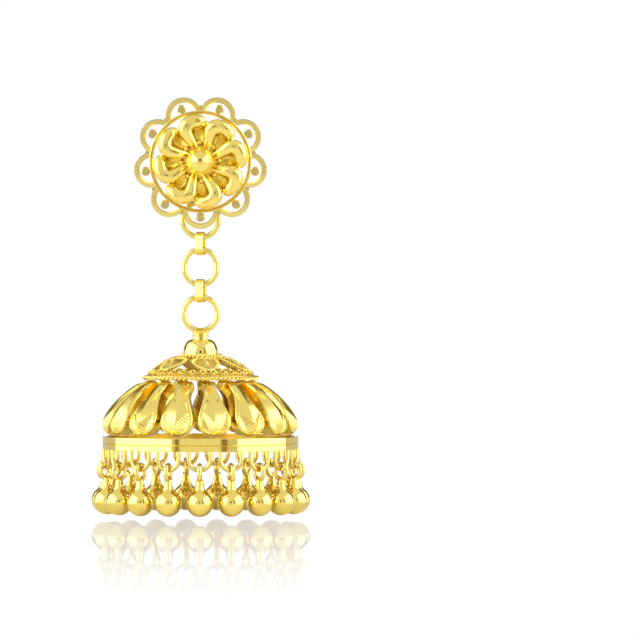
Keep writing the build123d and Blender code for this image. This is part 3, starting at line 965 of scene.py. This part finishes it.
def bead():
    """Ball drawn up to a neck, turned round its axis, and a long loop of round wire, on +X."""
    low, high = box("bead_drop_01")
    radius = (high[0] - low[0]) / 2
    centre = low[2] + radius
    neck_top, top = centre + BEAD_NECK, high[2]
    bottom = neck_top - 0.33
    polar = np.linspace(math.pi, 0.66, 26)
    ball = np.stack([radius * np.sin(polar), centre + radius * np.cos(polar)], axis=-1)
    cone = [(0.64, centre + 1.06), (0.54, centre + 1.18), (0.46, centre + 1.34), (0.40, centre + 1.56),
            (0.35, centre + 1.84), (0.30, neck_top - 0.08), (0.20, neck_top), (0, neck_top + 0.03)]
    middle = np.array([0, 0, (top + bottom) / 2])
    loop = wire_loop(middle, BEAD_LOOP_HALF, (top - bottom) / 2, BEAD_WIRE, samples=48, sides=12)
    reach = np.array([FRINGE_R, 0, 0])
    return lathe(np.concatenate([ball, cone]), 40) + reach, loop + reach


class JHUMKA_OT_beads(bpy.types.Operator):
    """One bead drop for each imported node"""

    bl_idname = "jhumka.beads"
    bl_label = "Add bead drops"

    def execute(self, context):
        body, loop = bead()
        for i, turn in enumerate(BEADS, 1):
            shape = Surface().grid(azimuth(body, turn), "u")
            shape.grid(azimuth(loop, turn), "uv", satin=0.35)
            shape.piece(f"bead_{i:02d}", "drop", [f"bead_drop_{i:02d}"], "gold_polished")
        return {"FINISHED"}


# ---------------------------------------------------------------- stage

# Sizes of the stage are in metres.
VIEW_X, VIEW_DISTANCE, VIEW_WIDTH = 0.01086, 1.0, 0.0582
VIEW_RISE = math.radians(1.0)
SENSOR = 36.0
AIM_Z = -0.0144
FLOOR_R, FLOOR_DROP = 0.20, 0.0004
TENT_LOW, TENT_HIGH = 0.66, 0.86
SKY = 1.02
MIRROR = 0.46
CARD_PALE = (0.86, 0.86, 0.86)
CARD_BROWN = (0.26, 0.18, 0.07)
CARD_LENS = (0.10, 0.08, 0.04)
CARD_ARC = (0.22, 0.18, 0.08)


def floor_finish():
    """Pale floor with a shallow gloss: looked at along its surface it is white, with a faint mirror image of
    what stands on it, which fades towards the front. It fades out at its rim and is clear from below."""
    shader = Shader("floor_finish")
    facing = shader.socket(shader.node("ShaderNodeLayerWeight", {}, {"Blend": 0.5}), "Facing")
    place = shader.place()
    far = shader.socket(shader.node("ShaderNodeVectorMath", {"operation": "LENGTH"}, {0: place}), "Value")
    rim = shader.ramp(far, FLOOR_R * 0.8, FLOOR_R)
    pale = shader.node("ShaderNodeBsdfDiffuse", {}, {"Color": (0.78, 0.78, 0.78, 1)})
    gloss = shader.node("ShaderNodeBsdfGlossy", {}, {"Color": WHITE, "Roughness": 0.02})
    near = shader.ramp(shader.height("Y"), -0.20, -0.01)
    mirror = shader.mixed(MIRROR * near, shader.glow(WHITE, SKY), gloss)
    top = shader.mixed(shader.ramp(facing, 0.80, 0.94), pale, mirror)
    under = shader.socket(shader.node("ShaderNodeNewGeometry"), "Backfacing")
    gone = 1 - (1 - under) * (1 - rim)
    return shader.surface(shader.mixed(gone, top, shader.node("ShaderNodeBsdfTransparent")))


def stage_mesh(name, points, faces, material):
    """Stage object that is not part of the earring."""
    mesh = bpy.data.meshes.new(name)
    mesh.from_pydata(points.reshape(-1, 3).tolist(), [], faces)
    mesh.materials.append(material)
    made = bpy.data.objects.new(name, mesh)
    bpy.context.scene.collection.objects.link(made)
    return made


def add_lit(name, points, tone):
    """Evenly lit card between two rows of points. It is left out of the picture itself, and only shows in the
    gold."""
    shader = Shader(f"{name}_finish")
    faces = quads(np.arange(points.size // 3).reshape(2, -1)).tolist()
    card = stage_mesh(name, points, faces, shader.surface(shader.glow((*tone, 1), 1.0)))
    card.visible_camera = False


def add_card(name, turn, half_turn, low_z, high_z, tone, reach=1.4):
    """Upright card round the earring, from an azimuth minus half_turn to plus half_turn."""
    angle = np.radians(np.linspace(turn - half_turn, turn + half_turn, 9))
    z = np.array([[low_z], [high_z]]) + 0 * angle
    add_lit(name, np.stack([reach * np.sin(angle) + 0 * z, -reach * np.cos(angle) + 0 * z, z], axis=-1), tone)


def add_backing(name, tone, half_inner, half_outer, first=0.0, last=360.0, reach=1.5):
    """Part of a ring behind the earring, round the line of sight, from one angle to another. A dark one draws
    a thin outline on round wire, and a white one with no hole is the backdrop that the floor mirrors."""
    angle = np.radians(np.linspace(first, last, 49))
    half = np.radians([[half_inner], [half_outer]])
    across, up = reach * np.sin(half) * np.cos(angle), reach * np.sin(half) * np.sin(angle)
    add_lit(name, np.stack([across, reach * np.cos(half) + 0 * angle, AIM_Z + up], axis=-1), tone)


def add_softbox(name, turn, height, size, glow, reach=0.6):
    """Rectangular soft light at an azimuth, turned to the earring, of an even brightness."""
    data = bpy.data.lights.new(name, "AREA")
    data.shape = "RECTANGLE"
    data.size, data.size_y = size
    data.energy = glow * math.pi * size[0] * size[1]
    light = bpy.data.objects.new(name, data)
    a = math.radians(turn)
    light.location = (reach * math.sin(a), -reach * math.cos(a), height)
    light.rotation_euler = (Vector((0, 0, AIM_Z)) - light.location).to_track_quat("-Z", "Y").to_euler()
    light.visible_camera = False
    bpy.context.scene.collection.objects.link(light)


def add_tent(reach=2.2, sides=32, rows=17):
    """Tent of pale cloth round everything, a little brighter overhead, which only shows in the gold."""
    rise = np.radians(np.linspace(-90, 90, rows))
    points = lathe(reach * np.stack([np.cos(rise), np.sin(rise)], axis=-1), sides)
    faces = quads(np.arange(sides * rows).reshape(sides, rows), "u").tolist()
    shader = Shader("tent_finish")
    tone = TENT_LOW + (TENT_HIGH - TENT_LOW) * shader.ramp(shader.height("Z"), 0.0, 0.7 * reach)
    stage_mesh("tent", points, faces, shader.surface(shader.glow(WHITE, tone))).visible_camera = False


class JHUMKA_OT_stage(bpy.types.Operator):
    """Round pale floor just under the beads, white sky, pale tent, softboxes on both sides, pale and dark
    cards round the earring, and the camera"""

    bl_idname = "jhumka.stage"
    bl_label = "Add stage"

    def execute(self, context):
        scene = bpy.context.scene
        rim = lathe([(FLOOR_R, CAD_BOX[0][2] - FLOOR_DROP)], 96)
        stage_mesh("floor", rim, [tuple(range(len(rim)))], floor_finish())
        world = bpy.data.worlds.new("white_sky")
        world.use_nodes = True
        sky = world.node_tree.nodes["Background"]
        sky.inputs["Color"].default_value = WHITE
        sky.inputs["Strength"].default_value = SKY
        scene.world = world
        add_tent()
        add_softbox("left_softbox", turn=-76, height=0.20, size=(1.24, 0.7), glow=2.1)
        add_softbox("right_softbox", turn=82, height=0.20, size=(1.04, 0.7), glow=2.1)
        add_card("front_card", turn=0, half_turn=23, low_z=-0.25, high_z=0.62, tone=CARD_PALE)
        add_card("left_gap", turn=-27.3, half_turn=2.2, low_z=-0.25, high_z=0.9, tone=CARD_BROWN)
        add_card("right_gap", turn=28.6, half_turn=3.6, low_z=-0.25, high_z=0.9, tone=CARD_BROWN)
        add_card("lens", turn=0, half_turn=7.0, low_z=0.035, high_z=0.34, tone=CARD_LENS, reach=1.3)
        add_backing("back_arc", CARD_ARC, half_inner=9, half_outer=58, first=8, last=172)
        add_backing("backdrop", (SKY, SKY, SKY), half_inner=0, half_outer=9)
        lens = bpy.data.cameras.new("camera")
        lens.sensor_width = SENSOR
        lens.lens = SENSOR * VIEW_DISTANCE / VIEW_WIDTH
        lens.clip_start, lens.clip_end = 0.01, 20
        camera = bpy.data.objects.new("camera", lens)
        camera.location = (VIEW_X, -VIEW_DISTANCE * math.cos(VIEW_RISE),
                           AIM_Z + VIEW_DISTANCE * math.sin(VIEW_RISE))
        camera.rotation_euler = (math.pi / 2 - VIEW_RISE, 0, 0)
        scene.collection.objects.link(camera)
        scene.camera = camera
        scene.view_settings.view_transform = "Standard"
        return {"FINISHED"}


# ---------------------------------------------------------------- add-on

OPERATORS = [
    JHUMKA_OT_collar, JHUMKA_OT_scallops, JHUMKA_OT_swirl, JHUMKA_OT_ball, JHUMKA_OT_post,
    JHUMKA_OT_round_rings, JHUMKA_OT_strip_links,
    JHUMKA_OT_cap, JHUMKA_OT_rope_rings, JHUMKA_OT_crown, JHUMKA_OT_pears, JHUMKA_OT_band, JHUMKA_OT_beads,
    JHUMKA_OT_stage,
]


class JHUMKA_PT_panel(bpy.types.Panel):
    """Lists the earring's pieces and its stage."""

    bl_label = "Jhumka earring"
    bl_idname = "JHUMKA_PT_panel"
    bl_space_type = "VIEW_3D"
    bl_region_type = "UI"
    bl_category = "Jhumka"

    def draw(self, context):
        column = self.layout.column()
        for made in OPERATORS:
            column.operator(made.bl_idname)


CLASSES = [JhumkaFinishes, JhumkaSizes, *OPERATORS, JHUMKA_PT_panel]


def register():
    """Registers the classes and hangs the settings on the scene."""
    for made in CLASSES:
        bpy.utils.register_class(made)
    bpy.types.Scene.jhumka_finishes = bpy.props.PointerProperty(type=JhumkaFinishes)
    bpy.types.Scene.jhumka_sizes = bpy.props.PointerProperty(type=JhumkaSizes)


def unregister():
    """Takes the settings and the classes away again."""
    del bpy.types.Scene.jhumka_finishes
    del bpy.types.Scene.jhumka_sizes
    for made in reversed(CLASSES):
        bpy.utils.unregister_class(made)


def main():
    register()
    for made in OPERATORS:
        getattr(bpy.ops.jhumka, made.bl_idname.split(".")[1])()


if __name__ == "__main__":
    main()
